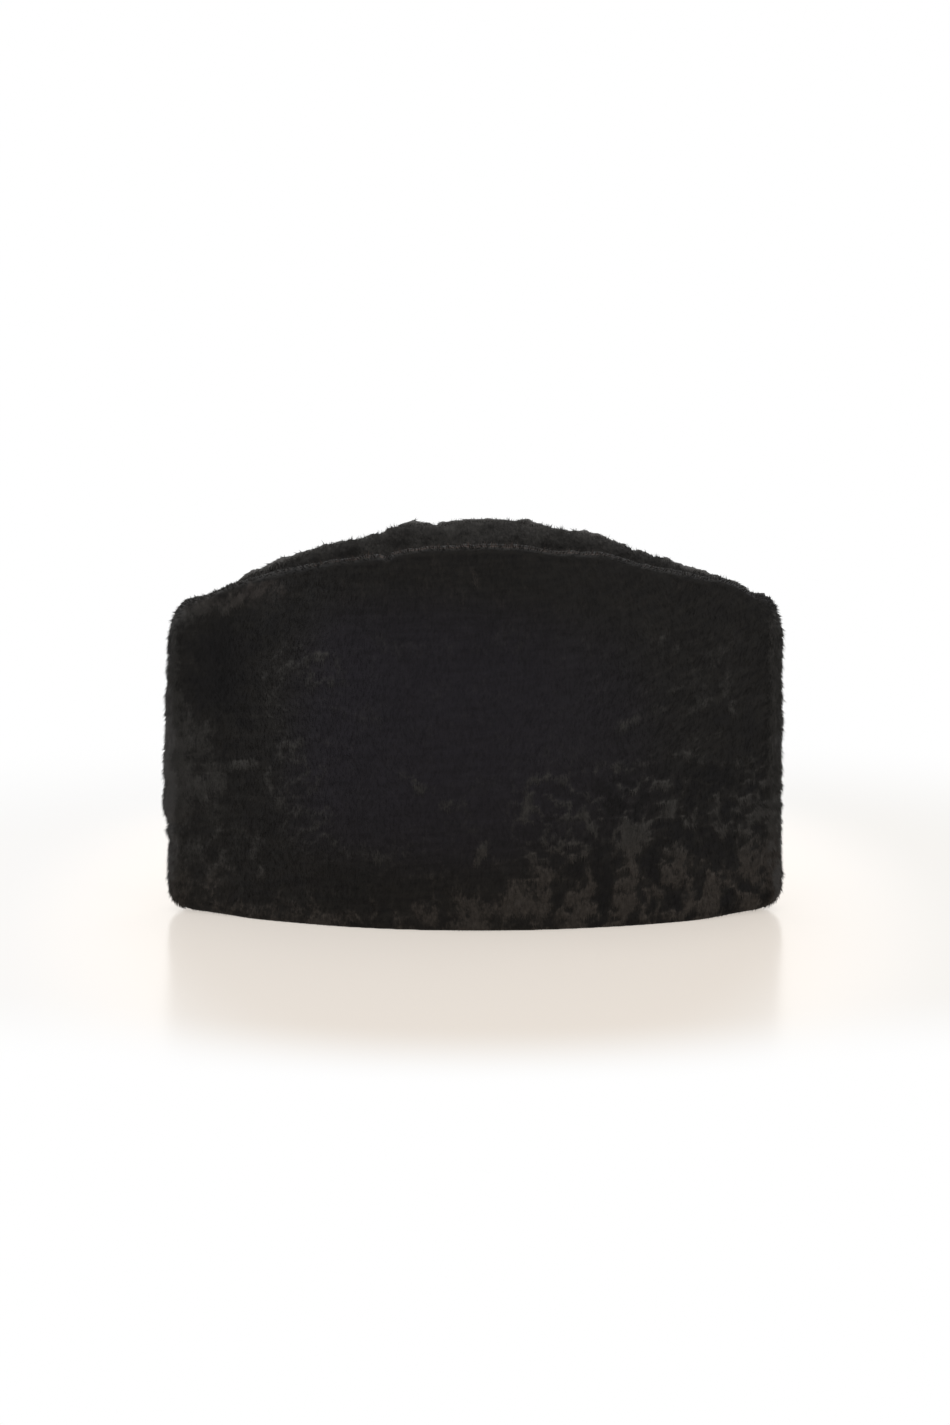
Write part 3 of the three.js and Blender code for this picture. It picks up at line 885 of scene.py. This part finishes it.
def dye_pelt(pelt, fur, skin):
    """Gives the pelt its fur's finish, and bare skin where no pile grows."""
    pelt.data.materials.clear()
    pelt.data.materials.append(fur)
    pelt.data.materials.append(skin)
    bare = (furred_faces(pelt.data) < BARE_SHARE).astype(np.int32)
    pelt.data.polygons.foreach_set("material_index", bare)


def soften_shading(mesh, own):
    """Shades the tufts mostly as the pelt below them faces, the way fine fur scatters light."""
    facing = np.empty(len(mesh.vertices) * 3)
    mesh.attributes["facing"].data.foreach_get("vector", facing)
    shaded = unit(facing.reshape(-1, 3) * PILE_SOFTNESS + own * (1.0 - PILE_SOFTNESS))
    mesh.polygons.foreach_set("use_smooth", np.ones(len(mesh.polygons), dtype=bool))
    mesh.normals_split_custom_set_from_vertices(shaded.tolist())
    mesh.attributes.remove(mesh.attributes["facing"])


def grow_pile(name, pelt, material, count, length, width, tangle, seed):
    """The pile of one pelt, as a plain mesh of closed tufts of four faces."""
    piece = link_piece(name, pelt.data)
    modifier = piece.modifiers.new("pile", "NODES")
    modifier.node_group = PILE_TREE
    wanted = {
        "Tufts per square metre": count / furred_area(pelt.data),
        "Length": length,
        "Width": width,
        "Tangle": tangle,
        "Root depth": ROOT_DEPTH,
        "Seed": seed,
        "Fur": material,
    }
    for item in PILE_TREE.interface.items_tree:
        if item.in_out == "INPUT" and item.name in wanted:
            modifier[item.identifier] = wanted[item.name]
    piece.data = finished_mesh(piece, name)
    points, own = read_points(piece.data)
    points[:, 2] = np.maximum(points[:, 2], TIP_CLEARANCE)
    write_points(piece.data, points)
    soften_shading(piece.data, own)
    return piece


def make_floor():
    """A round sheet under the hat, in rings that widen outwards."""
    corners = []
    for radius in FLOOR_RADII:
        for turn in range(FLOOR_TURNS):
            angle = math.tau * turn / FLOOR_TURNS
            corners.append((radius * math.cos(angle), radius * math.sin(angle), 0.0))
    faces = []
    for ring in range(len(FLOOR_RADII) - 1):
        inner = ring * FLOOR_TURNS
        outer = inner + FLOOR_TURNS
        for turn in range(FLOOR_TURNS):
            after = (turn + 1) % FLOOR_TURNS
            faces.append((inner + turn, outer + turn, outer + after, inner + after))
    faces.append(tuple(range(FLOOR_TURNS)))
    mesh = bpy.data.meshes.new("floor")
    mesh.from_pydata(corners, [], faces)
    mesh.materials.append(floor_material())
    floor = link_piece("floor", mesh)


def make_world():
    """A white studio: pure white where the camera sees it, and light on the hat that is dimmer from
    the near side than from behind. Glossy surfaces mirror a white horizon all round."""
    world = bpy.data.worlds.new("white_studio")
    bpy.context.scene.world = world
    world.use_nodes = True
    world.node_tree.nodes.clear()
    board = Board(world.node_tree)
    seen = board.add("ShaderNodeLightPath", None, None, "Is Camera Ray")
    mirrored = seen.beside("Is Glossy Ray")
    place = board.add("ShaderNodeTexCoord", None, None, "Generated")
    along = board.add("ShaderNodeSeparateXYZ", None, {"Vector": place}, "X")
    glow = board.step(along.beside("Y"), -0.5, 0.6, 0.29, 1.00)
    horizon = mirrored * (1.0 - board.step(along.beside("Z"), 0.25, 0.45))
    glow = glow + horizon * (1.0 - glow)
    white = board.add("ShaderNodeBackground", None, {"Color": WHITE, "Strength": 1.0})
    soft = board.add("ShaderNodeBackground", None, {"Color": DAYLIGHT, "Strength": glow})
    mixed = board.add("ShaderNodeMixShader", None, {0: seen, 1: soft, 2: white})
    board.add("ShaderNodeOutputWorld", None, {"Surface": mixed})


def soft_light(name, place, aim, size, power, colour):
    """A soft panel of light that stands at a place and is turned to its aim."""
    lamp = bpy.data.lights.new(name, "AREA")
    lamp.shape = "RECTANGLE"
    lamp.size, lamp.size_y = size
    lamp.energy = power
    lamp.color = colour
    light = link_piece(name, lamp)
    light.location = place
    light.rotation_euler = (Vector(aim) - Vector(place)).to_track_quat("-Z", "Y").to_euler()


def make_camera():
    """The photograph's own view: level along the hat, from a little above it."""
    lens = bpy.data.cameras.new("camera")
    lens.sensor_fit = "AUTO"
    lens.sensor_width = SENSOR_WIDTH
    lens.lens = FOCAL_LENGTH
    lens.clip_start = 0.05
    lens.clip_end = 100.0
    camera = link_piece("camera", lens)
    camera.location = CAMERA_PLACE
    camera.rotation_euler = (math.radians(90 - LOOKING_DOWN), 0, 0)
    bpy.context.scene.camera = camera
    bpy.context.scene.view_settings.view_transform = "Standard"
    bpy.context.scene.view_settings.look = "None"


PILE_TREE = pile_tree()

# The finishes, the three pelts and the pile on them.
side_fur = fur_material("side_fur_pelt", True)
side_pile = fur_material("side_fur_pile", False)
crown_fur = fur_material("crown_fur_pelt", True, 0.95)
crown_pile = fur_material("crown_fur_pile", False)
bare_skin = skin_material("inside_pelt_skin")

near_pelt = fur_pelt("near_side_fur", NEAR, brushed_and_sheen_near)
far_pelt = fur_pelt("far_side_fur", FAR, brushed_and_sheen_plain)
crown_pelt = fur_pelt("crown_fur", CROWN, brushed_and_sheen_plain)
dye_pelt(near_pelt, side_fur, bare_skin)
dye_pelt(far_pelt, side_fur, bare_skin)
dye_pelt(crown_pelt, crown_fur, bare_skin)

piles = [
    grow_pile("near_side_pile_long", near_pelt, side_pile, count=48000,
              length=0.0031, width=0.00060, tangle=0.15, seed=11),
    grow_pile("near_side_pile_short", near_pelt, side_pile, count=48000,
              length=0.0023, width=0.00056, tangle=0.20, seed=12),
    grow_pile("far_side_pile", far_pelt, side_pile, count=46000,
              length=0.0027, width=0.00062, tangle=0.22, seed=13),
    grow_pile("crown_pile", crown_pelt, crown_pile, count=28000,
              length=0.0027, width=0.00055, tangle=0.34, seed=14),
]

# Each piece rides on the hat's one body, and the pelts stand for the plain solids.
for piece in (near_pelt, far_pelt, crown_pelt, *piles):
    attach(piece, BODY)
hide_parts(NEAR)
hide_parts(FAR)
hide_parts(CROWN)

# The studio.
make_floor()
make_world()
soft_light("overhead_panel", place=(0.1, -0.15, 1.9), aim=(0, 0, 0), size=(2.0, 1.4),
           power=26, colour=(1.0, 0.98, 0.96))
soft_light("right_panel", place=(1.2, -1.4, 0.7), aim=(0.05, 0, 0.06), size=(0.9, 1.2),
           power=4.9, colour=(1.0, 0.97, 0.93))
soft_light("left_panel", place=(-1.5, 0.1, 0.7), aim=(-0.1, 0, 0.1), size=(0.8, 1.4),
           power=8.5, colour=(0.97, 0.98, 1.0))
make_camera()
